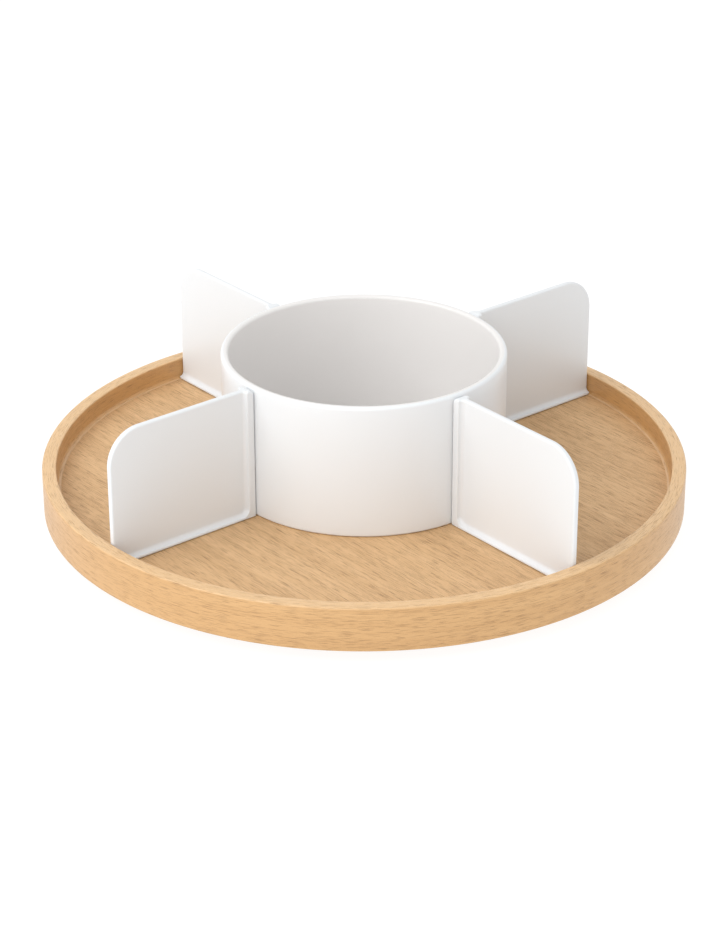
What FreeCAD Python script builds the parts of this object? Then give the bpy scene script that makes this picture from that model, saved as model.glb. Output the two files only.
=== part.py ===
import FreeCAD, Part
import math
import os
import Sketcher

# A round wooden turntable tray on a ring bearing, with a round centre bin and four dividers.
# +Z is up, Z = 0 is the surface that the rubber feet stand on, and the turning axis is the Z axis.
# The dividers lie along +X, +Y, -X and -Y. Millimetres throughout.

SIZES = {
    # wooden tray
    "tray_radius": (177.8, "outside radius of the wooden hoop"),
    "rim_height": (24.7, "height of the hoop, top edge to bottom edge"),
    "rim_width": (7.8, "wall of the hoop above the floor"),
    "rim_edge": (1.0, "rounding of the hoop's outer edges"),
    "rim_inner_edge": (0.8, "rounding of the hoop's inner top edge"),
    "floor_depth": (12.4, "hoop's top edge down to the tray floor"),
    "floor_thickness": (5.0, "veneered floor disc"),
    "rebate_width": (3.0, "how far the floor disc reaches into the hoop"),
    "cove_radius": (2.0, "hollow at the foot of the hoop's inner wall"),
    "lip_width": (2.2, "lip of the hoop that covers the floor disc's edge"),
    "lip_thickness": (0.2, "thickness of that lip at its inner edge"),
    # centre bin
    "bin_radius": (78.0, "outside radius of the bin"),
    "bin_height": (75.6, "bin's rim above the tray floor"),
    "bin_wall": (4.2, "side wall of the bin"),
    "bin_floor": (3.5, "floor of the bin"),
    "bin_recess": (0.8, "hollow under the bin's floor"),
    "bin_ring_width": (6.0, "standing ring around that hollow"),
    "bin_lip_radius": (1.7, "rounding of the bin's rim"),
    "bin_base_radius": (1.5, "rounding of the bin's outer bottom edge"),
    "bin_corner_radius": (4.0, "hollow between the bin's floor and wall"),
    # dividers
    "panel_thickness": (3.2, "divider panel"),
    "flange_width": (8.4, "post and foot across the panel"),
    "post_thickness": (4.7, "post, measured away from the bin"),
    "foot_thickness": (1.2, "foot at its free edges"),
    "divider_drop": (0.8, "bin's rim down to the divider's top edge"),
    "divider_gap": (0.6, "tray floor up to the divider's foot"),
    "divider_end_gap": (0.4, "divider's end to the hoop's inner wall"),
    "post_gap": (0.3, "bin's wall to the post"),
    "outer_corner_radius": (19.5, "upper outer corner of the divider"),
    "inner_corner_radius": (3.0, "upper corner beside the bin"),
    "toe_radius": (2.6, "lower outer corner of the divider"),
    "recess_corner_radius": (4.5, "corner between the post and the foot"),
    "recess_fillet": (2.2, "hollow where the panel meets the post and the foot"),
    "panel_edge_radius": (1.1, "rounding of the panel's free edges"),
    "post_edge_radius": (0.6, "rounding of the post's long outer edges"),
    # the rails that the dividers slide on
    "slot_lip": (1.2, "wall of the post that hooks behind the rail's head"),
    "slot_mouth": (2.6, "width of the slot's mouth"),
    "slot_width": (5.0, "width of the slot behind its mouth"),
    "slot_depth": (1.9, "slot behind its mouth, away from the bin"),
    "slot_height": (66.0, "blind end of the slot above the foot"),
    "rail_clearance": (0.25, "play between the rail and the slot, each side"),
    "rail_start": (2.5, "lower end of the rail above the tray floor"),
    "rail_root": (1.0, "how far the rail runs into the bin's wall"),
    # base and feet
    "base_radius": (118.0, "base disc"),
    "base_thickness": (4.0, "base disc"),
    "base_opening": (32.0, "radius of the opening in the middle of the base"),
    "base_edge": (1.0, "rounding of the base's edges"),
    "foot_drop": (2.0, "feet below the base disc"),
    "foot_pocket": (1.0, "depth of the pockets that hold the feet"),
    "foot_radius": (7.0, "rubber foot"),
    "foot_edge": (0.7, "rounding of the foot's bottom edge"),
    "foot_circle": (104.0, "radius of the circle of feet"),
    "foot_clearance": (0.1, "play between a foot and its pocket"),
    # ring bearing
    "bearing_height": (8.0, "base disc up to the tray's underside"),
    "ring_height": (7.2, "each bearing ring"),
    "race_radius": (60.0, "circle of ball centres"),
    "ball_radius": (2.0, "ball"),
    "ball_clearance": (0.05, "ball to each race and to its cage pocket"),
    "ring_gap": (2.4, "gap between the two rings"),
    "cage_thickness": (1.4, "cage, in the gap between the rings"),
    "cage_height": (5.0, "cage"),
    "outer_ring_width": (9.8, "outer ring"),
    "inner_ring_width": (9.8, "inner ring"),
    "ring_edge": (0.4, "rounding of the rings' edges"),
    "plug_radius": (2.4, "plug that closes the ball filling hole"),
    "plug_setback": (0.2, "plug's ends inside the ring's faces"),
    # screws
    "screw_line": (0.58, "share of a ring's width between its race face and its screws"),
    "screw_radius": (1.5, "shank of each screw"),
    "screw_head_radius": (2.9, "countersunk head"),
    "screw_head_height": (1.5, "countersunk head"),
    "screw_bite": (3.0, "screw's length in the wood or the base"),
    "screw_clearance": (0.02, "shank to its hole"),
    "drive_width": (0.7, "each slot of the cross recess"),
    "drive_length": (3.2, "each slot of the cross recess"),
    "drive_depth": (0.9, "cross recess"),
    "access_hole_radius": (4.5, "hole in the base for driving the tray's screws"),
}

BALL_COUNT = 24
FOOT_COUNT = 6
SCREW_COUNT = 4
DIVIDER_COUNT = 4

# Heights and radii that several parts share, worked out from the driving dimensions.
BASE_TOP = "(sizes.foot_drop + sizes.base_thickness)"
TRAY_UNDERSIDE = f"({BASE_TOP} + sizes.bearing_height)"
FLOOR_TOP = f"({TRAY_UNDERSIDE} + sizes.floor_thickness)"
RIM_TOP = f"({FLOOR_TOP} + sizes.floor_depth)"
RIM_BOTTOM = f"({RIM_TOP} - sizes.rim_height)"
RIM_INNER = "(sizes.tray_radius - sizes.rim_width)"
FLOOR_RADIUS = f"({RIM_INNER} + sizes.rebate_width)"
BIN_TOP = f"({FLOOR_TOP} + sizes.bin_height)"
BIN_BORE = "(sizes.bin_radius - sizes.bin_wall)"
DIVIDER_BOTTOM = f"({FLOOR_TOP} + sizes.divider_gap)"
DIVIDER_HEIGHT = "(sizes.bin_height - sizes.divider_drop - sizes.divider_gap)"
DIVIDER_START = "(sizes.bin_radius + sizes.post_gap)"
DIVIDER_END = f"({RIM_INNER} - sizes.divider_end_gap)"
POST_FACE = f"({DIVIDER_START} + sizes.post_thickness)"
SLOT_BACK = f"({DIVIDER_START} + sizes.slot_lip)"
RACE_HEIGHT = f"({BASE_TOP} + sizes.bearing_height / 2)"
INNER_RACE_FACE = "(sizes.race_radius - sizes.ring_gap / 2)"
OUTER_RACE_FACE = "(sizes.race_radius + sizes.ring_gap / 2)"
GROOVE_RADIUS = "(sizes.ball_radius + sizes.ball_clearance)"
OUTER_RING_FACE = f"({OUTER_RACE_FACE} + sizes.outer_ring_width)"
OUTER_SCREW_CIRCLE = f"({OUTER_RACE_FACE} + sizes.screw_line * sizes.outer_ring_width)"
INNER_SCREW_CIRCLE = f"({INNER_RACE_FACE} - sizes.screw_line * sizes.inner_ring_width)"
SHANK_HOLE = "(sizes.screw_radius + sizes.screw_clearance)"
HEAD_HOLE = "(sizes.screw_head_radius + sizes.screw_clearance)"
PILOT_DEPTH = "(sizes.screw_bite + sizes.screw_clearance)"

# The first screw of each group, as (across, up). The tray's screws start on the X axis and the
# base's at 45 degrees, so that the ball filling hole on the X axis passes between two of them.
TRAY_SCREW = (INNER_SCREW_CIRCLE, "0")
BASE_SCREW = (f"({OUTER_SCREW_CIRCLE} * sqrt(0.5))", f"({OUTER_SCREW_CIRCLE} * sqrt(0.5))")

EDGE_SHARE = 0.45     # largest rounding of a wall's edge, as a share of the wall
HOLLOW_SHARE = 0.85   # largest hollow beside a flange, as a share of the flange's overhang

ORIGIN = -1       # the sketcher's number for a sketch's own origin
OVERCUT = "5"     # how far a cut runs past the face it opens
TINY = 1e-4       # two places closer than this are the same

doc = FreeCAD.newDocument("lazy_susan_turntable")
sheet = doc.addObject("Spreadsheet::Sheet", "sizes")
for row, (alias, (amount, meaning)) in enumerate(SIZES.items(), start=1):
    sheet.set(f"A{row}", alias)
    sheet.set(f"B{row}", str(amount))
    sheet.set(f"C{row}", meaning)
    sheet.setAlias(f"B{row}", alias)
doc.recompute()

parts = []


def value(expression):
    """The number that an expression of sheet sizes stands for."""
    return float(sheet.evalExpression(expression))


def new_body(name):
    """A PartDesign body that becomes one node."""
    body = doc.addObject("PartDesign::Body", name)
    body.Label = name
    parts.append(body)
    return body


def computed_part(name, shape):
    """A node whose shape is many equal solids, which no single body can hold."""
    part = doc.addObject("Part::Feature", name)
    part.Label = name
    part.Shape = shape
    parts.append(part)


def new_sketch(body, name, plane, offset=None):
    """A sketch on one of the body's own origin planes, moved along its normal by offset."""
    sketch = body.newObject("Sketcher::SketchObject", name)
    support = [item for item in body.Origin.OriginFeatures if item.Role == plane][0]
    sketch.AttachmentSupport = [(support, "")]
    sketch.MapMode = "FlatFace"
    if offset:
        sketch.setExpression("AttachmentOffset.Base.z", offset)
    return sketch


def place_point(sketch, geometry, point, across, up):
    """Fixes one point of the sketch by its two coordinates; None leaves a coordinate free."""
    for kind, distance in (("DistanceX", across), ("DistanceY", up)):
        if distance is not None:
            constraint = Sketcher.Constraint(kind, ORIGIN, 1, geometry, point, value(distance))
            index = sketch.addConstraint(constraint)
            sketch.setExpression(f"Constraints[{index}]", distance)


def draw_circle(sketch, across, up, radius):
    """A circle given by the expressions of its centre and radius."""
    centre = FreeCAD.Vector(value(across), value(up), 0)
    circle = sketch.addGeometry(Part.Circle(centre, FreeCAD.Vector(0, 0, 1), value(radius)))
    place_point(sketch, circle, 3, across, up)
    index = sketch.addConstraint(Sketcher.Constraint("Radius", circle, value(radius)))
    sketch.setExpression(f"Constraints[{index}]", radius)


def draw_outline(sketch, corners):
    """
    A closed outline of upright and level sides.

    Each corner is (across, up) or (across, up, rounding), all expressions. Neighbouring corners
    share one coordinate, and a rounded corner becomes an arc that is tangent to both its sides.
    """
    count = len(corners)
    spots = [FreeCAD.Vector(value(corner[0]), value(corner[1]), 0) for corner in corners]
    starts, ends, arcs = [None] * count, [None] * count, {}
    for i, corner in enumerate(corners):
        if len(corner) < 3:
            starts[i] = ends[i] = spots[i]
            continue
        radius = value(corner[2])
        back = (spots[i - 1] - spots[i]).normalize()
        ahead = (spots[(i + 1) % count] - spots[i]).normalize()
        ends[i] = spots[i] + back * radius
        starts[i] = spots[i] + ahead * radius
        centre = spots[i] + (back + ahead) * radius
        middle = centre - (back + ahead).normalize() * radius
        arcs[i] = Part.Arc(ends[i], middle, starts[i])
    sides = []
    for i in range(count):
        following = (i + 1) % count
        sides.append(sketch.addGeometry(Part.LineSegment(starts[i], ends[following])))
    for i, side in enumerate(sides):
        following = (i + 1) % count
        if corners[i][0] == corners[following][0]:
            sketch.addConstraint(Sketcher.Constraint("Vertical", side))
            place_point(sketch, side, 1, corners[i][0], None)
        else:
            sketch.addConstraint(Sketcher.Constraint("Horizontal", side))
            place_point(sketch, side, 1, None, corners[i][1])
    for i in range(count):
        if i not in arcs:
            sketch.addConstraint(Sketcher.Constraint("Coincident", sides[i - 1], 2, sides[i], 1))
            continue
        arc = sketch.addGeometry(arcs[i])
        before, after = spots[i] - spots[i - 1], spots[(i + 1) % count] - spots[i]
        left_turn = before.cross(after).z > 0
        first, last = (1, 2) if left_turn else (2, 1)
        sketch.addConstraint(Sketcher.Constraint("Tangent", sides[i - 1], 2, arc, first))
        sketch.addConstraint(Sketcher.Constraint("Tangent", arc, last, sides[i], 1))
        index = sketch.addConstraint(Sketcher.Constraint("Radius", arc, value(corners[i][2])))
        sketch.setExpression(f"Constraints[{index}]", corners[i][2])


def turn(body, name, sketch, kind="PartDesign::Revolution"):
    """Turns a sketch on the XZ plane about the Z axis, as a solid or as a groove."""
    turned = body.newObject(kind, name)
    turned.Profile = sketch
    turned.ReferenceAxis = (sketch, ["V_Axis"])
    turned.Angle = 360
    doc.recompute()


def revolve(body, name, corners):
    """Turns an outline of (radius, height) corners about the Z axis."""
    sketch = new_sketch(body, f"{name}_outline", "XZ_Plane")
    draw_outline(sketch, corners)
    turn(body, name, sketch)


def grow(body, name, sketch, length):
    """Pads a sketch along its normal."""
    pad = body.newObject("PartDesign::Pad", name)
    pad.Profile = sketch
    pad.setExpression("Length", length)
    doc.recompute()
    return pad


def cut(body, name, sketch, length, along_normal):
    """Cuts a sketch into the body, along the sketch's normal or against it."""
    before = body.Shape.Volume
    pocket = body.newObject("PartDesign::Pocket", name)
    pocket.Profile = sketch
    pocket.Reversed = along_normal
    pocket.setExpression("Length", length)
    doc.recompute()
    if not pocket.Shape.Volume < before:
        raise RuntimeError(f"{name} cuts nothing")
    return pocket


def repeat_around(body, name, feature, occurrences):
    """Repeats a feature evenly about the Z axis."""
    pattern = body.newObject("PartDesign::PolarPattern", name)
    pattern.Originals = [feature]
    pattern.Axis = ([item for item in body.Origin.OriginFeatures if item.Role == "Z_Axis"][0], [""])
    pattern.Angle = 360
    pattern.Occurrences = occurrences
    body.Tip = pattern
    doc.recompute()


def round_edges(body, name, feature, radius, wanted):
    """Rounds the edges of a feature for which wanted(edge) is true."""
    names = [f"Edge{i}" for i, edge in enumerate(feature.Shape.Edges, start=1) if wanted(edge)]
    if not names:
        raise RuntimeError(f"{name} finds no edge")
    fillet = body.newObject("PartDesign::Fillet", name)
    fillet.Base = (feature, names)
    fillet.setExpression("Radius", radius)
    doc.recompute()
    return fillet


def tray_rim():
    """The bent hoop: outer wall, coved inner wall and the rebate that takes the floor disc."""
    lip_top = f"({FLOOR_TOP} + sizes.lip_thickness)"
    lip_edge = f"({RIM_INNER} - sizes.lip_width)"
    body = new_body("tray_rim")
    revolve(body, "hoop", [
        ("sizes.tray_radius", RIM_BOTTOM, "sizes.rim_edge"),
        ("sizes.tray_radius", RIM_TOP, "sizes.rim_edge"),
        (RIM_INNER, RIM_TOP, "sizes.rim_inner_edge"),
        (RIM_INNER, lip_top, "sizes.cove_radius"),
        (lip_edge, lip_top),
        (lip_edge, FLOOR_TOP),
        (FLOOR_RADIUS, FLOOR_TOP),
        (FLOOR_RADIUS, RIM_BOTTOM),
    ])


def tray_floor():
    """The floor disc, with blind pilot holes for the screws that hold the inner bearing ring."""
    body = new_body("tray_floor")
    sketch = new_sketch(body, "floor_circle", "XY_Plane", TRAY_UNDERSIDE)
    draw_circle(sketch, "0", "0", FLOOR_RADIUS)
    grow(body, "floor_disc", sketch, "sizes.floor_thickness")
    pilot = new_sketch(body, "pilot_circle", "XY_Plane", TRAY_UNDERSIDE)
    draw_circle(pilot, *TRAY_SCREW, SHANK_HOLE)
    hole = cut(body, "pilot_hole", pilot, PILOT_DEPTH, True)
    repeat_around(body, "pilot_holes", hole, SCREW_COUNT)


def centre_bin():
    """The open bin, with a T-shaped rail on its wall for each divider."""
    body = new_body("centre_bin")
    recess_top = f"({FLOOR_TOP} + sizes.bin_recess)"
    ring_inner = "(sizes.bin_radius - sizes.bin_ring_width)"
    inside_bottom = f"({FLOOR_TOP} + sizes.bin_floor)"
    lip = f"min(sizes.bin_lip_radius; {EDGE_SHARE} * sizes.bin_wall)"
    revolve(body, "bowl", [
        ("0", recess_top),
        (ring_inner, recess_top),
        (ring_inner, FLOOR_TOP),
        ("sizes.bin_radius", FLOOR_TOP, "sizes.bin_base_radius"),
        ("sizes.bin_radius", BIN_TOP, lip),
        (BIN_BORE, BIN_TOP, lip),
        (BIN_BORE, inside_bottom, "sizes.bin_corner_radius"),
        ("0", inside_bottom),
    ])
    neck = "(sizes.slot_mouth / 2 - sizes.rail_clearance)"
    head = "(sizes.slot_width / 2 - sizes.rail_clearance)"
    root = "(sizes.bin_radius - sizes.rail_root)"
    head_near = f"({SLOT_BACK} + sizes.rail_clearance)"
    head_far = f"({SLOT_BACK} + sizes.slot_depth - sizes.rail_clearance)"
    sketch = new_sketch(body, "rail_outline", "XY_Plane", f"{FLOOR_TOP} + sizes.rail_start")
    draw_outline(sketch, [
        (root, f"-{neck}"),
        (head_near, f"-{neck}"),
        (head_near, f"-{head}"),
        (head_far, f"-{head}"),
        (head_far, head),
        (head_near, head),
        (head_near, neck),
        (root, neck),
    ])
    rail = grow(body, "rail", sketch, "sizes.divider_gap + sizes.slot_height - sizes.rail_start")
    repeat_around(body, "rails", rail, DIVIDER_COUNT)


def divider(number):
    """
    One divider: a thin panel with a post beside the bin and a foot along the floor.

    It is modelled along +X with its foot at Z = 0, then turned to its place and raised.
    """
    body = new_body(f"divider_{number}")
    half_panel = "(sizes.panel_thickness / 2)"
    half_flange = "(sizes.flange_width / 2)"
    recess_depth = f"({half_flange} - {half_panel})"
    beyond_end = f"({DIVIDER_END} + {OVERCUT})"
    beyond_top = f"({DIVIDER_HEIGHT} + {OVERCUT})"
    side = new_sketch(body, "side_outline", "XZ_Plane", f"-{half_flange}")
    draw_outline(side, [
        (DIVIDER_START, "0"),
        (DIVIDER_END, "0"),
        (DIVIDER_END, DIVIDER_HEIGHT, "sizes.outer_corner_radius"),
        (DIVIDER_START, DIVIDER_HEIGHT, "sizes.inner_corner_radius"),
    ])
    grow(body, "block", side, "sizes.flange_width")
    for name, offset, along in (("near", half_panel, True), ("far", f"-{half_panel}", False)):
        recess = new_sketch(body, f"{name}_recess_outline", "XZ_Plane", offset)
        draw_outline(recess, [
            (POST_FACE, "sizes.foot_thickness", "sizes.recess_corner_radius"),
            (beyond_end, "sizes.foot_thickness"),
            (beyond_end, beyond_top),
            (POST_FACE, beyond_top),
        ])
        recessed = cut(body, f"{name}_recess", recess, f"{recess_depth} + {OVERCUT}", along)

    def on_side(edge, distance):
        """The edge lies in the plane Y = distance or Y = -distance."""
        box = edge.BoundBox
        return box.YLength < TINY and abs(abs(box.YMin) - value(distance)) < TINY

    def meets_flange(edge):
        box = edge.BoundBox
        reach = value(f"{POST_FACE} + sizes.recess_corner_radius")
        height = value("sizes.foot_thickness + sizes.recess_corner_radius")
        return on_side(edge, half_panel) and (box.XMax < reach + TINY or box.ZMax < height + TINY)

    def post_corner(edge):
        box = edge.BoundBox
        upright = box.XLength < TINY and box.ZLength > value(DIVIDER_HEIGHT) / 2
        return upright and on_side(edge, half_flange) and abs(box.XMin - value(POST_FACE)) < TINY

    def free_edge(edge):
        box = edge.BoundBox
        top = box.ZLength < TINY and abs(box.ZMin - value(DIVIDER_HEIGHT)) < TINY
        return on_side(edge, half_panel) and (top or abs(box.XMax - value(DIVIDER_END)) < TINY) \
            and box.ZMax > value(DIVIDER_HEIGHT) / 2

    fillet = f"min(sizes.recess_fillet; {HOLLOW_SHARE} * {recess_depth})"
    hollows = round_edges(body, "hollows", recessed, fillet, meets_flange)
    post = round_edges(body, "post_corners", hollows, "sizes.post_edge_radius", post_corner)
    free = f"min(sizes.panel_edge_radius; {EDGE_SHARE} * sizes.panel_thickness)"
    round_edges(body, "panel_edges", post, free, free_edge)
    toe = new_sketch(body, "toe_outline", "XZ_Plane", f"-{half_flange} - {OVERCUT}")
    past_toe = f"({DIVIDER_END} - sizes.toe_radius - {OVERCUT})"
    draw_outline(toe, [
        (past_toe, f"-{OVERCUT}"),
        (beyond_end, f"-{OVERCUT}"),
        (beyond_end, f"(sizes.toe_radius + {OVERCUT})"),
        (DIVIDER_END, f"(sizes.toe_radius + {OVERCUT})"),
        (DIVIDER_END, "0", "sizes.toe_radius"),
        (past_toe, "0"),
    ])
    cut(body, "toe", toe, f"sizes.flange_width + 2 * {OVERCUT}", True)
    slot = new_sketch(body, "slot_outline", "XY_Plane")
    mouth, wide = "(sizes.slot_mouth / 2)", "(sizes.slot_width / 2)"
    slot_end = f"({SLOT_BACK} + sizes.slot_depth)"
    open_side = f"({DIVIDER_START} - {OVERCUT})"
    draw_outline(slot, [
        (open_side, f"-{mouth}"),
        (SLOT_BACK, f"-{mouth}"),
        (SLOT_BACK, f"-{wide}"),
        (slot_end, f"-{wide}"),
        (slot_end, wide),
        (SLOT_BACK, wide),
        (SLOT_BACK, mouth),
        (open_side, mouth),
    ])
    cut(body, "slot", slot, "sizes.slot_height", True)
    quarter = FreeCAD.Rotation(FreeCAD.Vector(0, 0, 1), 360 / DIVIDER_COUNT * (number - 1))
    body.Placement = FreeCAD.Placement(FreeCAD.Vector(0, 0, value(DIVIDER_BOTTOM)), quarter)
    body.setExpression("Placement.Base.z", DIVIDER_BOTTOM)


def base_plate():
    """The base disc: pockets for the feet, screw holes for the bearing and the access hole."""
    body = new_body("base_plate")
    revolve(body, "disc", [
        ("sizes.base_opening", "sizes.foot_drop", "sizes.base_edge"),
        ("sizes.base_radius", "sizes.foot_drop", "sizes.base_edge"),
        ("sizes.base_radius", BASE_TOP, "sizes.base_edge"),
        ("sizes.base_opening", BASE_TOP, "sizes.base_edge"),
    ])
    pocket = new_sketch(body, "foot_pocket_circle", "XY_Plane", "sizes.foot_drop")
    draw_circle(pocket, "sizes.foot_circle", "0", "sizes.foot_radius + sizes.foot_clearance")
    foot_pocket = cut(body, "foot_pocket", pocket, "sizes.foot_pocket", True)
    repeat_around(body, "foot_pockets", foot_pocket, FOOT_COUNT)
    pilot = new_sketch(body, "pilot_circle", "XY_Plane", BASE_TOP)
    draw_circle(pilot, *BASE_SCREW, SHANK_HOLE)
    hole = cut(body, "pilot_hole", pilot, PILOT_DEPTH, False)
    repeat_around(body, "pilot_holes", hole, SCREW_COUNT)
    access = new_sketch(body, "access_circle", "XY_Plane", "sizes.foot_drop")
    draw_circle(access, *TRAY_SCREW, "sizes.access_hole_radius")
    cut(body, "access_hole", access, "sizes.base_thickness", True)


def rubber_foot(number):
    """One rubber foot, set in its pocket and standing on Z = 0."""
    body = new_body(f"foot_{number}")
    revolve(body, "pad", [
        ("0", "0"),
        ("sizes.foot_radius", "0", "sizes.foot_edge"),
        ("sizes.foot_radius", "sizes.foot_drop + sizes.foot_pocket"),
        ("0", "sizes.foot_drop + sizes.foot_pocket"),
    ])
    angle = 2 * math.pi / FOOT_COUNT * (number - 1)
    body.setExpression("Placement.Base.x", f"sizes.foot_circle * {math.cos(angle):.9f}")
    body.setExpression("Placement.Base.y", f"sizes.foot_circle * {math.sin(angle):.9f}")


def bearing_ring(name, inner, outer, bottom, top, screw, head_up):
    """One bearing ring with its ball race and countersunk screw holes."""
    body = new_body(name)
    revolve(body, "ring", [
        (inner, bottom, "sizes.ring_edge"),
        (outer, bottom, "sizes.ring_edge"),
        (outer, top, "sizes.ring_edge"),
        (inner, top, "sizes.ring_edge"),
    ])
    race = new_sketch(body, "race_circle", "XZ_Plane")
    draw_circle(race, "sizes.race_radius", RACE_HEIGHT, GROOVE_RADIUS)
    turn(body, "race", race, "PartDesign::Groove")
    shank = new_sketch(body, "shank_circle", "XY_Plane", bottom)
    draw_circle(shank, *screw, SHANK_HOLE)
    through = cut(body, "shank_hole", shank, "sizes.ring_height", True)
    repeat_around(body, "shank_holes", through, SCREW_COUNT)
    sink = body.newObject("PartDesign::SubtractiveCone", "countersink")
    sink.AttachmentSupport = shank.AttachmentSupport
    sink.MapMode = "FlatFace"
    sink.setExpression("AttachmentOffset.Base.x", screw[0])
    sink.setExpression("AttachmentOffset.Base.y", screw[1])
    sink.setExpression("AttachmentOffset.Base.z", f"{top} - sizes.screw_head_height" if head_up else bottom)
    sink.setExpression("Radius1", SHANK_HOLE if head_up else HEAD_HOLE)
    sink.setExpression("Radius2", HEAD_HOLE if head_up else SHANK_HOLE)
    sink.setExpression("Height", "sizes.screw_head_height")
    doc.recompute()
    repeat_around(body, "countersinks", sink, SCREW_COUNT)
    return body


def inner_ring():
    """The inner ring hangs under the tray floor."""
    bearing_ring(
        "bearing_inner_ring", f"({INNER_RACE_FACE} - sizes.inner_ring_width)", INNER_RACE_FACE,
        f"({TRAY_UNDERSIDE} - sizes.ring_height)", TRAY_UNDERSIDE, TRAY_SCREW, False)


def outer_ring():
    """The outer ring stands on the base, with a radial hole that the balls were filled through."""
    body = bearing_ring(
        "bearing_outer_ring", OUTER_RACE_FACE, OUTER_RING_FACE,
        BASE_TOP, f"({BASE_TOP} + sizes.ring_height)", BASE_SCREW, True)
    filler = new_sketch(body, "filler_circle", "YZ_Plane", "sizes.race_radius")
    draw_circle(filler, "0", RACE_HEIGHT, "sizes.plug_radius + sizes.screw_clearance")
    cut(body, "filler_hole", filler, f"{OUTER_RING_FACE} - sizes.race_radius + {OVERCUT}", True)


def ball_cage():
    """The thin cage between the rings, with one round window for each ball."""
    body = new_body("ball_cage")
    low = f"({RACE_HEIGHT} - sizes.cage_height / 2)"
    high = f"({RACE_HEIGHT} + sizes.cage_height / 2)"
    near = "(sizes.race_radius - sizes.cage_thickness / 2)"
    far = "(sizes.race_radius + sizes.cage_thickness / 2)"
    revolve(body, "band", [(near, low), (far, low), (far, high), (near, high)])
    window = new_sketch(body, "window_circle", "YZ_Plane")
    draw_circle(window, "0", RACE_HEIGHT, GROOVE_RADIUS)
    hole = cut(body, "window", window, f"sizes.race_radius + {OVERCUT}", True)
    repeat_around(body, "windows", hole, BALL_COUNT)


def around(shape, count):
    """Equal copies of a shape, evenly spaced about the Z axis, as one compound."""
    copies = [shape.copy() for _ in range(count)]
    for i, copy in enumerate(copies):
        copy.rotate(FreeCAD.Vector(0, 0, 0), FreeCAD.Vector(0, 0, 1), 360 / count * i)
    return Part.makeCompound(copies)


def bearing_balls():
    """The balls, halfway between the two races."""
    centre = FreeCAD.Vector(value("sizes.race_radius"), 0, value(RACE_HEIGHT))
    ball = Part.makeSphere(value("sizes.ball_radius"), centre)
    computed_part("bearing_balls", around(ball, BALL_COUNT))


def filler_plug():
    """The round plug that closes the hole the balls were filled through."""
    plug = doc.addObject("Part::Cylinder", "ball_filler_plug")
    plug.Label = "ball_filler_plug"
    start = f"(sizes.race_radius + {GROOVE_RADIUS} + sizes.plug_setback)"
    plug.setExpression("Radius", "sizes.plug_radius")
    plug.setExpression("Height", f"{OUTER_RING_FACE} - sizes.plug_setback - {start}")
    plug.Placement.Rotation = FreeCAD.Rotation(FreeCAD.Vector(0, 0, 1), FreeCAD.Vector(1, 0, 0))
    plug.setExpression("Placement.Base.x", start)
    plug.setExpression("Placement.Base.z", RACE_HEIGHT)
    parts.append(plug)


def countersunk_screw():
    """A screw along +Z with its flat head's face at Z = 0 and a cross recess in it."""
    shank, head = value("sizes.screw_radius"), value("sizes.screw_head_radius")
    rise = value("sizes.screw_head_height")
    length = value("sizes.ring_height + sizes.screw_bite")
    width, reach = value("sizes.drive_width"), value("sizes.drive_length")
    depth = value("sizes.drive_depth")
    stem = Part.makeCylinder(shank, length - rise, FreeCAD.Vector(0, 0, rise))
    one_slot = Part.makeBox(reach, width, depth, FreeCAD.Vector(-reach / 2, -width / 2, 0))
    other_slot = Part.makeBox(width, reach, depth, FreeCAD.Vector(-width / 2, -reach / 2, 0))
    return Part.makeCone(head, shank, rise).fuse(stem).cut(one_slot.fuse(other_slot))


def screws():
    """The screws that hold the inner ring to the tray floor and the outer ring to the base."""
    up = countersunk_screw()
    up.translate(FreeCAD.Vector(*map(value, TRAY_SCREW), value(f"{TRAY_UNDERSIDE} - sizes.ring_height")))
    computed_part("tray_screws", around(up, SCREW_COUNT))
    down = countersunk_screw()
    down.rotate(FreeCAD.Vector(0, 0, 0), FreeCAD.Vector(1, 0, 0), 180)
    down.translate(FreeCAD.Vector(*map(value, BASE_SCREW), value(f"{BASE_TOP} + sizes.ring_height")))
    computed_part("base_screws", around(down, SCREW_COUNT))


tray_rim()
tray_floor()
centre_bin()
for number in range(1, DIVIDER_COUNT + 1):
    divider(number)
base_plate()
for number in range(1, FOOT_COUNT + 1):
    rubber_foot(number)
inner_ring()
outer_ring()
ball_cage()
bearing_balls()
filler_plug()
screws()
doc.recompute()

for item in doc.Objects:
    if "Invalid" in item.State or "Error" in item.State:
        raise RuntimeError(f"{item.Label} did not compute: {item.getStatusString()}")
for part in parts:
    if part.Shape.isNull() or not part.Shape.isValid():
        raise RuntimeError(f"{part.Label} has no sound shape")
os.makedirs("parts", exist_ok=True)
for part in parts:
    part.Shape.exportStep(f"parts/{part.Label}.step")
print(f"{len(parts)} parts written")
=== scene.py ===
import math

import bmesh
import bpy
import numpy as np
from mathutils import Euler, Matrix, Vector


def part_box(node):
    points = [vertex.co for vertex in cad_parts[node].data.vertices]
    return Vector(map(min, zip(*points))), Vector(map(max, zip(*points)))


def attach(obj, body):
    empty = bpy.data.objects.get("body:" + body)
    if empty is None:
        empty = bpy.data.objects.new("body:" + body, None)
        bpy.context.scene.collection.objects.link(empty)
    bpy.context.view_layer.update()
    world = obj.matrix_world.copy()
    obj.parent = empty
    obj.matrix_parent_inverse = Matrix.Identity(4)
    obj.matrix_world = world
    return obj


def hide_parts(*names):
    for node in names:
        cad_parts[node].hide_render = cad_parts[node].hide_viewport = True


bl_info = {
    "name": "Divided turntable",
    "version": (1, 0, 0),
    "blender": (4, 5, 0),
    "location": "View3D > Sidebar > Turntable",
    "description": "Shapes, finishes and stage of a wooden turntable with a centre bin and dividers",
    "category": "Object",
}

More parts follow.
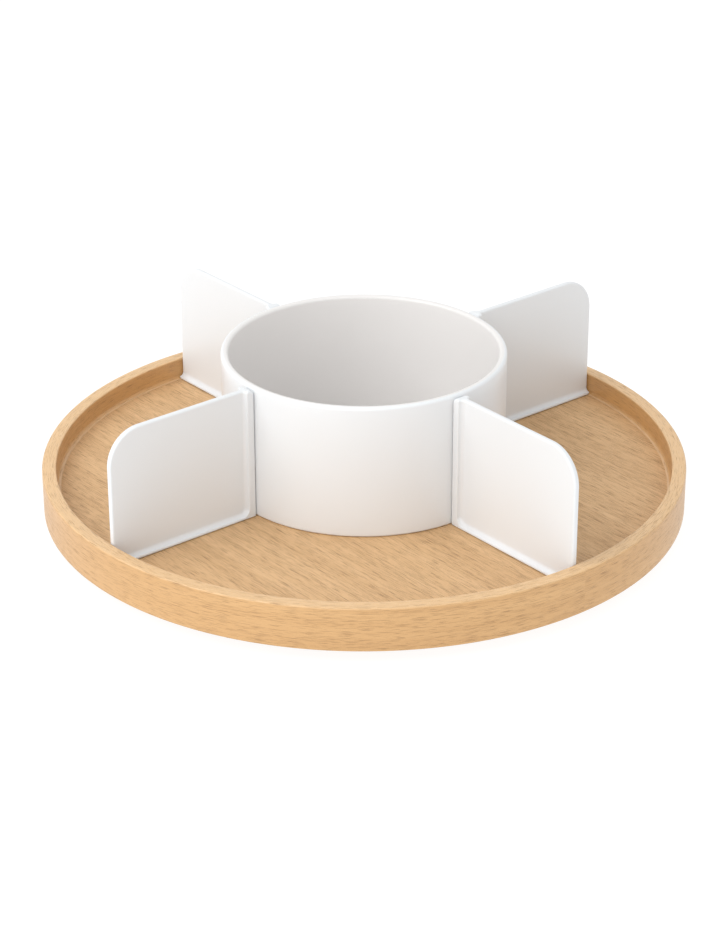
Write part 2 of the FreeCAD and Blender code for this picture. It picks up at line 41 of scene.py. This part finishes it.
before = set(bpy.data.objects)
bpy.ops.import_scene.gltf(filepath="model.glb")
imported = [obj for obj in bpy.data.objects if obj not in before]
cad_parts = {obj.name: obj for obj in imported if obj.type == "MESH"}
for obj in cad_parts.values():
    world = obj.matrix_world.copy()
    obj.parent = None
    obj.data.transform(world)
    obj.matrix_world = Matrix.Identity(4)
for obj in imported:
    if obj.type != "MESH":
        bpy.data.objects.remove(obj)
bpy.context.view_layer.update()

MM = 0.001
SHARP_ANGLE = math.radians(32)   # steeper edges than this stay sharp
SAME_POINT = 1e-7                # points nearer than this are one point
FADE = 1 * MM                    # width over which one shade passes into another
LONGEST_STEP = {"hoop": 2.5 * MM, "bin": 6 * MM}   # longest face along each turned profile
SENSOR_WIDTH = 36                # of the camera, in millimetres
FIGURE_SCALE = 1500.0            # fine cross figure of all wood, per metre
# painted shade: the hoop's inner wall is painted darker, standing in for the shade that falls there
INNER_WALL_PAINTED_SHADE = (0.93, 0.88, 0.79)   # the hoop's inner wall is darker than its outside
DIVIDERS = sorted(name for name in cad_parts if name.startswith("divider_"))
FEET = [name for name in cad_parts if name.startswith("foot_")]


def top_of(node):
    """Height of a CAD node's top, in metres."""
    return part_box(node)[1].z


def bottom_of(node):
    """Height of a CAD node's underside, in metres."""
    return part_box(node)[0].z


# ---------------------------------------------------------------- settings

def length(name, description, default):
    """A property that holds a length in metres."""
    return bpy.props.FloatProperty(
        name=name, description=description, default=default, unit="LENGTH", precision=5)


def number(name, description, default):
    """A property that holds a plain number."""
    return bpy.props.FloatProperty(name=name, description=description, default=default, precision=4)


def colour(name, description, default):
    """A property that holds a linear colour."""
    return bpy.props.FloatVectorProperty(
        name=name, description=description, default=default, subtype="COLOR", min=0, max=1)


def position(name, description, default):
    """A property that holds a place in metres."""
    return bpy.props.FloatVectorProperty(
        name=name, description=description, default=default, subtype="TRANSLATION", unit="LENGTH")


class HoopSettings(bpy.types.PropertyGroup):
    """Sizes and colours of the wooden hoop and the floor disc inside it."""
    radius: length("Radius", "Outside of the hoop", 177.8 * MM)
    wall: length("Wall", "Thickness of the hoop above the floor", 7.8 * MM)
    outer_round: length("Outer rounding", "Rounding of the hoop's outer edges", 1.0 * MM)
    inner_round: length("Inner rounding", "Rounding of the inner top edge", 0.8 * MM)
    cove: length("Cove", "Hollow at the foot of the inner wall", 2.0 * MM)
    lip: length("Lip", "Lip that covers the edge of the floor disc", 2.2 * MM)
    lip_height: length("Lip height", "Thickness of that lip", 0.2 * MM)
    # painted highlight: a paler ring painted along the lip's edge, at the foot of the inner wall
    lip_painted_highlight: length("Lip edge", "Worn edge of the lip, paler than the rest", 0.6 * MM)
    # painted shade on the inner wall; this is how far past the wall it reaches
    painted_shade_reach: length("Wall face", "How far past the inner wall its darker shade reaches", 0.1 * MM)
    rebate: length("Rebate", "How far the floor disc reaches into the hoop", 3.0 * MM)
    pale: colour("Pale wood", "Light wood of the hoop", (0.722, 0.444, 0.200))
    deep: colour("Deep wood", "Darker bands of the hoop", (0.525, 0.288, 0.110))
    # painted light: the hoop's top is painted paler than its sides, where light falls from above
    top_painted_light: colour("Top of the hoop", "Sanded upper edge, paler than the sides", (0.820, 0.600, 0.365))
    pore: colour("Pores", "Short dark pores", (0.24, 0.115, 0.045))
    floor_pale: colour("Floor pale", "Light streaks of the floor veneer", (0.770, 0.506, 0.268))
    floor_deep: colour("Floor deep", "Darker bands of the floor veneer", (0.560, 0.336, 0.156))
    floor_pore: colour("Floor pores", "Fine dark streaks of the floor veneer", (0.16, 0.080, 0.035))


class BinSettings(bpy.types.PropertyGroup):
    """Sizes and colour of the centre bin and the dividers."""
    radius: length("Radius", "Outside of the bin", 78.0 * MM)
    wall: length("Wall", "Side wall of the bin", 4.2 * MM)
    floor: length("Floor", "Thickness of the bin's floor", 3.5 * MM)
    recess: length("Recess", "Hollow under the bin's floor", 0.8 * MM)
    ring: length("Standing ring", "Width of the ring that the bin stands on", 6.0 * MM)
    rim_round: length("Rim rounding", "Rounding of the bin's rim", 1.7 * MM)
    base_round: length("Base rounding", "Rounding of the outer bottom edge", 1.5 * MM)
    corner: length("Inner corner", "Hollow between floor and wall", 4.0 * MM)
    rail_root: length("Rail root", "How far each rail runs into the bin's wall", 1.0 * MM)
    rail_neck: length("Rail neck", "Width of each rail where it leaves the bin", 2.1 * MM)
    rail_head: length("Rail head", "Width of each rail's head", 4.5 * MM)
    rail_back: length("Rail step", "From the bin's wall to the back of the head", 1.75 * MM)
    rail_reach: length("Rail reach", "From the bin's wall to the front of the head", 3.15 * MM)
    rail_start: length("Rail start", "Bin's underside to the rail's lower end", 2.5 * MM)
    rail_end: length("Rail end", "Bin's underside to the rail's upper end", 66.6 * MM)
    white: colour("White", "Moulded plastic", (0.800, 0.822, 0.840))
    # painted shade: the bin's inner surface is painted darker and warmer than its outside
    white_painted_shade: colour("White inside", "The bin's inner surface", (0.800, 0.782, 0.768))


class StageSettings(bpy.types.PropertyGroup):
    """Camera and light."""
    height: length("Camera height", "Camera above the table", 0.6800)
    distance: length("Camera distance", "Camera to the turning axis, level", 1.3404)
    bearing: number("Bearing", "Turn of the camera about the axis from +X, in degrees", -39.373)
    tilt: number("Tilt", "How far the camera looks down, in degrees", 26.064)
    pan: number("Pan", "Turn of the camera away from the axis, in degrees", 0.097)
    roll: number("Roll", "Turn of the picture, in degrees", -0.139)
    focal: number("Focal length", f"In millimetres on a {SENSOR_WIDTH} mm frame", 104.1)
    floor: colour("Floor", "Plain floor", (0.14, 0.14, 0.14))
    floor_glow: number("Floor glow", "Light that the floor gives off", 0.90)
    key: number("Key light", "Power of the large light, in watts", 13.4)
    key_size: length("Light size", "Width of both lights", 1.6)
    front: number("Front light", "Power of the low light beside the camera, in watts", 8.5)
    key_place: position("Key place", "Where the large light hangs", (-0.3, -1.15, 1.25))
    front_place: position("Front place", "Where the low light stands", (1.2, -1.6, 0.55))
    floor_reach: length("Floor reach", "From the turning axis to each side of the floor", 20.0)
    sky: number("Sky", "Strength of the even light all round", 0.86)


def settings(kind):
    """The scene's settings of one kind: hoop, bin or stage."""
    return getattr(bpy.context.scene, f"turntable_{kind}")


# ---------------------------------------------------------------- shapes

def rounded_profile(corners, steps=6):
    """
    A profile of (r, z) points with round corners.

    Each corner is (r, z, rounding). The arc at a corner touches both sides at the rounding's
    length from it: point(t) = centre + (start - centre) cos t + (end - centre) sin t, for t from
    0 to a quarter turn, which holds for the square corners used here.
    """
    count = len(corners)
    quarter = np.linspace(0, math.pi / 2, steps)[:, None]
    points = []
    for i, (r, z, rounding) in enumerate(corners):
        spot = np.array((r, z))
        if not rounding:
            points.append(spot[None])
            continue
        back = np.array(corners[i - 1][:2]) - spot
        ahead = np.array(corners[(i + 1) % count][:2]) - spot
        back *= rounding / np.linalg.norm(back)
        ahead *= rounding / np.linalg.norm(ahead)
        centre = spot + back + ahead
        points.append(centre - ahead * np.cos(quarter) - back * np.sin(quarter))
    return np.concatenate(points)


def divided(points, longest, closed):
    """The same profile with its long sides divided into equal pieces no longer than longest."""
    following = np.roll(points, -1, axis=0) if closed else points[1:]
    pieces = []
    for start, end in zip(points, following):
        count = max(1, math.ceil(np.linalg.norm(end - start) / longest))
        share = np.arange(count)[:, None] / count
        pieces.append(start + (end - start) * share)
    if not closed:
        pieces.append(points[-1:])
    return np.concatenate(pieces)


def grid_faces(rows, columns, wrap_rows):
    """
    Corner numbers of the four-sided faces of a grid whose columns close on themselves.

    Its rows close on themselves too if wrap_rows is true.
    """
    last = rows if wrap_rows else rows - 1
    row, column = np.meshgrid(np.arange(last), np.arange(columns), indexing="ij")
    above, beside = (row + 1) % rows, (column + 1) % columns
    corners = [(row, column), (row, beside), (above, beside), (above, column)]
    return np.stack([r * columns + c for r, c in corners], axis=-1).reshape(-1, 4)


def turned(name, profile, turns=288, closed=True):
    """
    A surface of revolution.

    The point at profile place i and angle a is (r_i cos a, r_i sin a, z_i). Its UV map holds the
    angle times the largest radius and the distance run along the profile, both in metres.
    """
    angle = np.arange(turns) * 2 * math.pi / turns
    r, z = profile[:, :1], profile[:, 1:]
    grid = np.stack(np.broadcast_arrays(r * np.cos(angle), r * np.sin(angle), z), axis=-1)
    faces = grid_faces(len(profile), turns, closed)
    mesh = bpy.data.meshes.new(name)
    mesh.from_pydata(grid.reshape(-1, 3), [], faces)
    run = np.concatenate([[0], np.cumsum(np.linalg.norm(np.diff(profile, axis=0), axis=1))])
    closing = run[-1] + np.linalg.norm(profile[0] - profile[-1])
    row, column = faces // turns, faces % turns
    last_column = column.max(axis=1, keepdims=True) == turns - 1
    last_row = row.max(axis=1, keepdims=True) == len(profile) - 1
    along = np.where((column == 0) & last_column, turns, column)
    down = np.where((row == 0) & last_row, closing, run[row])
    uv = np.stack([along * 2 * math.pi / turns * profile[:, 0].max(), down], axis=-1)
    mesh.uv_layers.new(name="UVMap").data.foreach_set("uv", uv.reshape(-1).astype(np.float32))
    return shown(name, mesh)


def extruded(name, outlines, bottom, top):
    """Upright bars: each outline of (x, y) points carried from bottom to top, with closed ends."""
    mesh = bpy.data.meshes.new(name)
    points, faces = [], []
    for outline in outlines:
        count, first = len(outline), sum(len(p) for p in points)
        level = np.repeat([bottom, top], count)[:, None]
        points.append(np.hstack([np.vstack([outline, outline]), level]))
        faces += (grid_faces(2, count, False) + first).tolist()
        faces += [list(range(first, first + count)), list(range(first + count, first + 2 * count))]
    mesh.from_pydata(np.concatenate(points), [], faces)
    return shown(name, mesh)


def shown(name, mesh):
    """Puts a mesh into the scene with its doubles merged and its faces smooth and pointing out."""
    shell = bmesh.new()
    shell.from_mesh(mesh)
    bmesh.ops.remove_doubles(shell, verts=shell.verts, dist=SAME_POINT)
    bmesh.ops.recalc_face_normals(shell, faces=shell.faces)
    shell.to_mesh(mesh)
    shell.free()
    mesh.shade_smooth()
    mesh.set_sharp_from_angle(angle=SHARP_ANGLE)
    obj = bpy.data.objects.new(name, mesh)
    bpy.context.scene.collection.objects.link(obj)
    return obj


def finish_piece(obj, body, nodes, material):
    """Gives a new piece its body, the CAD nodes it stands for and its material."""
    obj.data.materials.append(material)
    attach(obj, body)
    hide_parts(*nodes)


def dress(nodes, material):
    """Gives CAD nodes a material."""
    for name in nodes:
        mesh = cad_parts[name].data
        mesh.materials.clear()
        mesh.materials.append(material)


# ---------------------------------------------------------------- materials

class Value:
    """A shader socket that can be used in Python sums."""

    def __init__(self, paint, socket):
        self.paint = paint
        self.socket = socket

    def _math(self, operation, *values):
        return self.paint.node("ShaderNodeMath", {"operation": operation}, dict(enumerate(values)))

    def __add__(self, other):
        return self._math("ADD", self, other)

    def __sub__(self, other):
        return self._math("SUBTRACT", self, other)

    def __rsub__(self, other):
        return self._math("SUBTRACT", other, self)

    def __mul__(self, other):
        return self._math("MULTIPLY", self, other)

    __radd__ = __add__
    __rmul__ = __mul__


class Paint:
    """A material under construction."""

    def __init__(self, name):
        self.material = bpy.data.materials.new(name)
        self.material.use_nodes = True
        self.nodes = self.material.node_tree.nodes
        self.links = self.material.node_tree.links
        self.shader = self.nodes["Principled BSDF"]

    def put(self, socket, value):
        """Links a Value to a socket, or writes a plain value into it."""
        if isinstance(value, Value):
            self.links.new(value.socket, socket)
        elif hasattr(value, "__len__") and len(value) == 3 and socket.type == "RGBA":
            socket.default_value = (*value, 1)
        else:
            socket.default_value = value

    def node(self, kind, options, inputs, output=0):
        """Adds a node, sets its options first and then its inputs, and returns one output."""
        node = self.nodes.new(kind)
        for key, option in options.items():
            if key == "stops":
                while len(node.color_ramp.elements) < len(option):
                    node.color_ramp.elements.new(0.5)
                for element, (place, shade) in zip(node.color_ramp.elements, option):
                    element.position = place
                    element.color = (shade, shade, shade, 1)
            else:
                setattr(node, key, option)
        for key, value in inputs.items():
            self.put(node.inputs[key], value)
        return Value(self, node.outputs[output])

    def place(self, source="Object", scale=(1, 1, 1), turn=0.0):
        """Places on the surface, from Object coordinates or the UV map, scaled and turned."""
        place = self.node("ShaderNodeTexCoord", {}, {}, source)
        return self.node("ShaderNodeMapping", {}, {
            "Vector": place, "Scale": scale, "Rotation": (0, 0, turn)})

    def noise(self, place, scale, detail=3.0, roughness=0.5, distortion=0.0):
        """Smooth noise from 0 to 1."""
        return self.node("ShaderNodeTexNoise", {}, {
            "Vector": place, "Scale": scale, "Detail": detail,
            "Roughness": roughness, "Distortion": distortion})

    def streaks(self, source, along, across, detail, roughness, distortion=0.0):
        """Noise that repeats along times a metre in the first direction, across in the others."""
        place = self.place(source, (along, across, across))
        return self.noise(place, 1.0, detail, roughness, distortion)

    def ramp(self, value, *stops):
        """A value passed through grey stops of (place, height)."""
        return self.node("ShaderNodeValToRGB", {"stops": stops}, {"Fac": value})

    def mix(self, share, first, second):
        """A colour between first and second."""
        return self.node("ShaderNodeMix", {"data_type": "RGBA"}, {0: share, 6: first, 7: second}, 2)

    @staticmethod
    def darker(shade, share=0.965):
        """A plain colour with its brightness cut to a share."""
        return tuple(part * share for part in shade)

    def tint(self, shade, filter_colour):
        """A colour seen through a filter of another colour."""
        return self.node("ShaderNodeMix", {"data_type": "RGBA", "blend_type": "MULTIPLY"}, {
            0: 1.0, 6: shade, 7: filter_colour}, 2)

    def from_axis(self):
        """Distance from the turning axis, in metres."""
        place = self.node("ShaderNodeTexCoord", {}, {}, "Object")
        flat = self.node("ShaderNodeVectorMath", {"operation": "MULTIPLY"}, {0: place, 1: (1, 1, 0)})
        return self.node("ShaderNodeVectorMath", {"operation": "LENGTH"}, {0: flat}, "Value")

    def within(self, radius):
        """One inside a radius about the turning axis, falling to nothing just outside it."""
        return self.node("ShaderNodeMapRange", {"interpolation_type": "SMOOTHSTEP"}, {
            "Value": self.from_axis(), "From Min": radius, "From Max": radius + FADE,
            "To Min": 1.0, "To Max": 0.0})

    def above(self, height):
        """One over a height, falling to nothing just below it."""
        level = self.node("ShaderNodeSeparateXYZ", {}, {"Vector": self.place()}, "Z")
        return self.node("ShaderNodeMapRange", {"interpolation_type": "SMOOTHSTEP"}, {
            "Value": level, "From Min": height - FADE, "From Max": height})

    def bump(self, height, distance):
        """Raises the surface by height times distance, in metres."""
        normal = self.node("ShaderNodeBump", {}, {"Height": height, "Distance": distance, "Strength": 1.0})
        self.put(self.shader.inputs["Normal"], normal)

    def finish(self, **inputs):
        """Sets the shader's sockets; an underscore in a name stands for a space."""
        for name, value in inputs.items():
            self.put(self.shader.inputs[name.replace("_", " ")], value)
        return self.material


def wood(name, source, shades, along, across, crowding, gloss, edge=None):
    """
    Lacquered wood whose grain runs along the first coordinate of its places.

    The noise that the pores are cut from repeats along and across times a metre, and bands, lines
    and fibres repeat at shares of that. A higher crowding leaves more pores, and gloss is the
    lacquer's roughness.

    Broad bands and narrower growth lines shift between the pale and the deep shade, fine fibres run
    along the grain with a faint cross figure, and short dark pores lie between them, crowded in
    some growth lines and rare in others. Pores sink a little and are less glossy than the lacquer.
    An edge (lip radius, inner radius, top height, top shade) gives the hoop's inner wall a painted
    shade, its top a paler painted light and the edge of its lip a painted highlight.
    """
    pale, deep, pore = shades
    paint = Paint(name)
    bands = paint.streaks(source, along * 0.04, across * 0.02, detail=3.0, roughness=0.5, distortion=0.8)
    lines = paint.streaks(source, along * 0.08, across * 0.15, detail=3.0, roughness=0.6, distortion=0.4)
    fibres = paint.streaks(source, along * 0.9, across * 1.1, detail=3.0, roughness=0.7, distortion=0.1)
    figure = paint.streaks(source, FIGURE_SCALE, FIGURE_SCALE, detail=2.0, roughness=0.6)
    flecks = paint.streaks(source, along, across, detail=1.0, roughness=0.5)
    crowd = paint.ramp(lines, (0.35, 0.0), (0.65, 1.0))
    mottle = paint.ramp(figure, (0.30, 0.0), (0.70, 1.0))
    pores = paint.ramp(flecks + crowd * 0.07 + crowding, (0.60, 0.0), (0.68, 1.0))
    threads = paint.ramp(fibres, (0.32, 0.0), (0.68, 1.0))
    broad = paint.ramp(bands, (0.32, 0.0), (0.68, 1.0))
    base = paint.mix(broad * 0.42 + crowd * 0.12 + threads * 0.20 + mottle * 0.26, pale, deep)
    coat = 0.0
    if edge:
        lip, inside, top, painted_lit_colour = edge
        # painted shade: the inner wall is tinted darker
        base = paint.mix(paint.within(inside), base, paint.tint(base, INNER_WALL_PAINTED_SHADE))
        # painted light: the top face is painted paler than the sides
        painted_lit_top = paint.mix(threads * 0.6 + mottle * 0.5, painted_lit_colour, pale)
        base = paint.mix(paint.above(top) * 0.85, base, painted_lit_top)
        # painted highlight along the lip's edge, where the inner wall meets the floor
        base = paint.mix(paint.within(lip) * 0.55, base, painted_lit_colour)
        coat = 0.3
    shade = paint.mix(pores * (threads * 0.3 + 0.35), base, pore)
    paint.bump(fibres * 0.35 - pores * 0.65, 0.09 * MM)
    rough = pores * 0.22 + fibres * 0.10 + gloss
    return paint.finish(Base_Color=shade, Roughness=rough, IOR=1.48, Coat_Weight=coat, Coat_Roughness=0.3)


def plastic(name, shade, roughness, inside=None):
    """
    Moulded plastic: faint cloudiness, a very fine spark texture and slight flow marks.

    An inside (radius, shade) gives the surface within that radius its own shade, used as painted shade.
    """
    paint = Paint(name)
    cloud = paint.noise(paint.place(), 14.0, 2.0)
    grain = paint.noise(paint.place(), 2600.0, 2.0, 0.6)
    flow = paint.noise(paint.place(scale=(1, 1, 0.25)), 60.0, 2.0)
    base = paint.mix(cloud, paint.darker(shade), shade)
    if inside:
        radius, inner_shade = inside
        # painted shade: the surface inside the radius takes the darker, warmer inner colour
        painted_lining = paint.mix(cloud, paint.darker(inner_shade), inner_shade)
        base = paint.mix(paint.within(radius), base, painted_lining)
    paint.bump(grain * 0.7 + flow * 0.3, 0.018 * MM)
    return paint.finish(Base_Color=base, Roughness=cloud * 0.05 + grain * 0.06 + roughness, IOR=1.5)


def metal(name, shade, roughness, rings):
    """Turned metal: fine rings about the turning axis, and a duller film in patches."""
    paint = Paint(name)
    ring = paint.noise(paint.node("ShaderNodeCombineXYZ", {}, {"X": paint.from_axis()}), rings, 2.0)
    film = paint.noise(paint.place(), 90.0, 3.0)
    paint.bump(ring, 0.012 * MM)
    return paint.finish(
        Base_Color=paint.mix(film, paint.darker(shade, 0.8), shade), Metallic=1.0,
        Roughness=ring * 0.12 + film * 0.12 + roughness)


def rubber():
    """Matt moulded rubber with dust in its fine texture."""
    paint = Paint("foot_rubber")
    place = paint.place()
    grain = paint.noise(place, 900.0, 3.0, 0.7)
    dust = paint.noise(place, 120.0, 3.0)
    paint.bump(grain, 0.03 * MM)
    return paint.finish(
        Base_Color=paint.mix(dust, (0.02, 0.02, 0.02), (0.055, 0.053, 0.05)), Roughness=grain * 0.2 + 0.7)


def board():
    """Sealed fibreboard: mottled brown with short pressed fibres."""
    paint = Paint("base_board")
    place = paint.place()
    mottle = paint.noise(place, 70.0, 4.0, 0.6)
    fibre = paint.noise(paint.place(scale=(1, 0.35, 1), turn=0.6), 900.0, 4.0, 0.7, 1.2)
    tone = mottle * 0.5 + fibre * 0.5
    paint.bump(fibre, 0.05 * MM)
    return paint.finish(
        Base_Color=paint.mix(tone, (0.23, 0.135, 0.066), (0.42, 0.275, 0.155)), Roughness=fibre * 0.2 + 0.5)


# ---------------------------------------------------------------- operators

class TURNTABLE_OT_hoop(bpy.types.Operator):
    """Makes the bent wooden hoop, with its coved inner wall and the rebate for the floor disc"""
    bl_idname = "turntable.hoop"
    bl_label = "Hoop"

    def execute(self, context):
        own = settings("hoop")
        top, bottom, floor = top_of("tray_rim"), bottom_of("tray_rim"), top_of("tray_floor")
        inner = own.radius - own.wall
        profile = rounded_profile([
            (own.radius, bottom, own.outer_round),
            (own.radius, top, own.outer_round),
            (inner, top, own.inner_round),
            (inner, floor + own.lip_height, own.cove),
            (inner - own.lip, floor + own.lip_height, 0),
            (inner - own.lip, floor, 0),
            (inner + own.rebate, floor, 0),
            (inner + own.rebate, bottom, 0),
        ])
        hoop = turned("hoop", divided(profile, LONGEST_STEP["hoop"], True))
        shades = [tuple(shade) for shade in (own.pale, own.deep, own.pore)]
        # the edge carries the painted highlight on the lip, the painted shade on the inner wall and the
        # painted light on the top
        edge = (inner - own.lip + own.lip_painted_highlight, inner + own.painted_shade_reach, top, tuple(own.top_painted_light))
        grain = wood(
            "hoop_wood", "UV", shades, along=110.0, across=3400.0, crowding=-0.02, gloss=0.40, edge=edge)
        finish_piece(hoop, "tray", ["tray_rim"], grain)
        return {"FINISHED"}


class TURNTABLE_OT_floor(bpy.types.Operator):
    """Finishes the veneered floor disc"""
    bl_idname = "turntable.floor"
    bl_label = "Tray floor"

    def execute(self, context):
        own = settings("hoop")
        shades = [tuple(shade) for shade in (own.floor_pale, own.floor_deep, own.floor_pore)]
        veneer = wood(
            "floor_veneer", "Object", shades, along=100.0, across=3800.0, crowding=0.0, gloss=0.46)
        dress(["tray_floor"], veneer)
        return {"FINISHED"}


class TURNTABLE_OT_bin(bpy.types.Operator):
    """Makes the open bin"""
    bl_idname = "turntable.bin"
    bl_label = "Centre bin"

    def execute(self, context):
        own = settings("bin")
        bottom, top = bottom_of("centre_bin"), top_of("centre_bin")
        bore = own.radius - own.wall
        profile = rounded_profile([
            (0, bottom + own.recess, 0),
            (own.radius - own.ring, bottom + own.recess, 0),
            (own.radius - own.ring, bottom, 0),
            (own.radius, bottom, own.base_round),
            (own.radius, top, own.rim_round),
            (bore, top, own.rim_round),
            (bore, bottom + own.floor, own.corner),
            (0, bottom + own.floor, 0),
        ], steps=9)
        bowl = turned("bin_bowl", divided(profile, LONGEST_STEP["bin"], False), closed=False)
        rails = extruded(
            "bin_rails", self.rail_outlines(own), bottom + own.rail_start, bottom + own.rail_end)
        # painted shade: the bin's inside is painted darker and warmer than its outside
        inside = (bore + own.wall / 2, tuple(own.white_painted_shade))
        white = plastic("bin_plastic", tuple(own.white), roughness=0.24, inside=inside)
        finish_piece(bowl, "bin", ["centre_bin"], white)
        finish_piece(rails, "bin", ["centre_bin"], white)
        return {"FINISHED"}

    @staticmethod
    def rail_outlines(own):
        """The T outline of a rail, its root inside the bin's wall, turned to each divider's side."""
        neck, head = own.rail_neck / 2, own.rail_head / 2
        root, back = own.radius - own.rail_root, own.radius + own.rail_back
        front = own.radius + own.rail_reach
        outline = np.array([
            (root, -neck), (back, -neck), (back, -head), (front, -head),
            (front, head), (back, head), (back, neck), (root, neck)])
        turns = [np.array(((c, s), (-s, c))) for c, s in ((1, 0), (0, 1), (-1, 0), (0, -1))]
        return [outline @ turn for turn in turns]


class TURNTABLE_OT_dividers(bpy.types.Operator):
    """Finishes the four dividers"""
    bl_idname = "turntable.dividers"
    bl_label = "Dividers"

    def execute(self, context):
        shade = Paint.darker(settings("bin").white, share=0.975)
        dress(DIVIDERS, plastic("divider_plastic", shade, roughness=0.25))
        return {"FINISHED"}


class TURNTABLE_OT_base(bpy.types.Operator):
    """Finishes the base disc, its feet and the ring bearing"""
    bl_idname = "turntable.base"
    bl_label = "Base and bearing"

    def execute(self, context):
        dress(["base_plate"], board())
        dress(FEET, rubber())
        rings = metal("ring_metal", (0.66, 0.67, 0.68), roughness=0.22, rings=5200.0)
        dress(["bearing_outer_ring", "bearing_inner_ring"], rings)
        dress(["ball_filler_plug"], metal("plug_metal", (0.60, 0.61, 0.62), roughness=0.30, rings=3000.0))
        dress(["bearing_balls"], metal("ball_steel", (0.72, 0.73, 0.75), roughness=0.04, rings=300.0))
        screws = metal("screw_steel", (0.56, 0.55, 0.50), roughness=0.26, rings=2400.0)
        dress(["base_screws", "tray_screws"], screws)
        dress(["ball_cage"], plastic("cage_plastic", (0.64, 0.61, 0.52), roughness=0.42))
        return {"FINISHED"}


class TURNTABLE_OT_stage(bpy.types.Operator):
    """Makes the camera, the lights and the plain floor"""
    bl_idname = "turntable.stage"
    bl_label = "Stage"

    def execute(self, context):
        own = settings("stage")
        scene = context.scene
        scene.view_settings.view_transform = "Standard"
        scene.view_settings.look = "None"
        self.add_camera(scene, own)
        self.add_floor(own)
        self.add_light("key_light", own.key_place, own.key_size, own.key)
        self.add_light("front_light", own.front_place, own.key_size, own.front)
        world = bpy.data.worlds.new("even_light")
        world.use_nodes = True
        sky = world.node_tree.nodes["Background"].inputs
        sky["Color"].default_value = (1, 1, 1, 1)
        sky["Strength"].default_value = own.sky
        scene.world = world
        return {"FINISHED"}

    @staticmethod
    def add_camera(scene, own):
        """A camera at its bearing and height, turned to the axis and then by its tilt, pan and roll."""
        camera = bpy.data.objects.new("camera", bpy.data.cameras.new("camera"))
        scene.collection.objects.link(camera)
        bearing = math.radians(own.bearing)
        x, y = own.distance * math.cos(bearing), own.distance * math.sin(bearing)
        camera.location = (x, y, own.height)
        aim = Euler((math.radians(90 - own.tilt), 0, bearing + math.pi / 2 + math.radians(own.pan)))
        roll = Matrix.Rotation(math.radians(own.roll), 3, "Z")
        camera.rotation_euler = (aim.to_matrix() @ roll).to_euler()
        camera.data.sensor_width = SENSOR_WIDTH
        camera.data.lens = own.focal
        scene.camera = camera

    @staticmethod
    def add_floor(own):
        """A plain square floor that gives off a little light of its own."""
        reach = own.floor_reach
        corners = [(x * reach, y * reach, 0) for x, y in ((-1, -1), (1, -1), (1, 1), (-1, 1))]
        mesh = bpy.data.meshes.new("stage_floor")
        mesh.from_pydata(corners, [], [(0, 1, 2, 3)])
        floor = bpy.data.objects.new("stage_floor", mesh)
        bpy.context.scene.collection.objects.link(floor)
        paint = Paint("stage_floor")
        mesh.materials.append(paint.finish(
            Base_Color=tuple(own.floor), Roughness=0.9,
            Emission_Color=(1, 1, 1), Emission_Strength=own.floor_glow))

    @staticmethod
    def add_light(name, place, size, power):
        """A round area light that faces the foot of the turning axis."""
        light = bpy.data.lights.new(name, "AREA")
        light.shape = "DISK"
        light.size = size
        light.energy = power
        obj = bpy.data.objects.new(name, light)
        bpy.context.scene.collection.objects.link(obj)
        obj.location = place
        obj.rotation_euler = Vector(place).to_track_quat("Z", "Y").to_euler()


STEPS = [
    TURNTABLE_OT_stage,
    TURNTABLE_OT_hoop,
    TURNTABLE_OT_floor,
    TURNTABLE_OT_bin,
    TURNTABLE_OT_dividers,
    TURNTABLE_OT_base,
]


class TURNTABLE_PT_panel(bpy.types.Panel):
    """Lists the pieces of the turntable and their settings"""
    bl_label = "Turntable"
    bl_idname = "TURNTABLE_PT_panel"
    bl_space_type = "VIEW_3D"
    bl_region_type = "UI"
    bl_category = "Turntable"

    def draw(self, context):
        """One button for each operator, then every setting."""
        for step in STEPS:
            self.layout.operator(step.bl_idname)
        for kind in SETTINGS:
            box = self.layout.box()
            group = settings(kind)
            for key in group.__annotations__:
                box.prop(group, key)


SETTINGS = {"hoop": HoopSettings, "bin": BinSettings, "stage": StageSettings}


def register():
    """Registers the settings, the operators and the panel."""
    for kind, group in SETTINGS.items():
        bpy.utils.register_class(group)
        setattr(bpy.types.Scene, f"turntable_{kind}", bpy.props.PointerProperty(type=group))
    for item in (*STEPS, TURNTABLE_PT_panel):
        bpy.utils.register_class(item)


def unregister():
    """Removes what register adds, in the opposite order."""
    for item in (TURNTABLE_PT_panel, *reversed(STEPS)):
        bpy.utils.unregister_class(item)
    for kind, group in SETTINGS.items():
        delattr(bpy.types.Scene, f"turntable_{kind}")
        bpy.utils.unregister_class(group)


def main():
    """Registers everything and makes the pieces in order."""
    register()
    for step in STEPS:
        family, name = step.bl_idname.split(".")
        getattr(getattr(bpy.ops, family), name)()


if __name__ == "__main__":
    main()
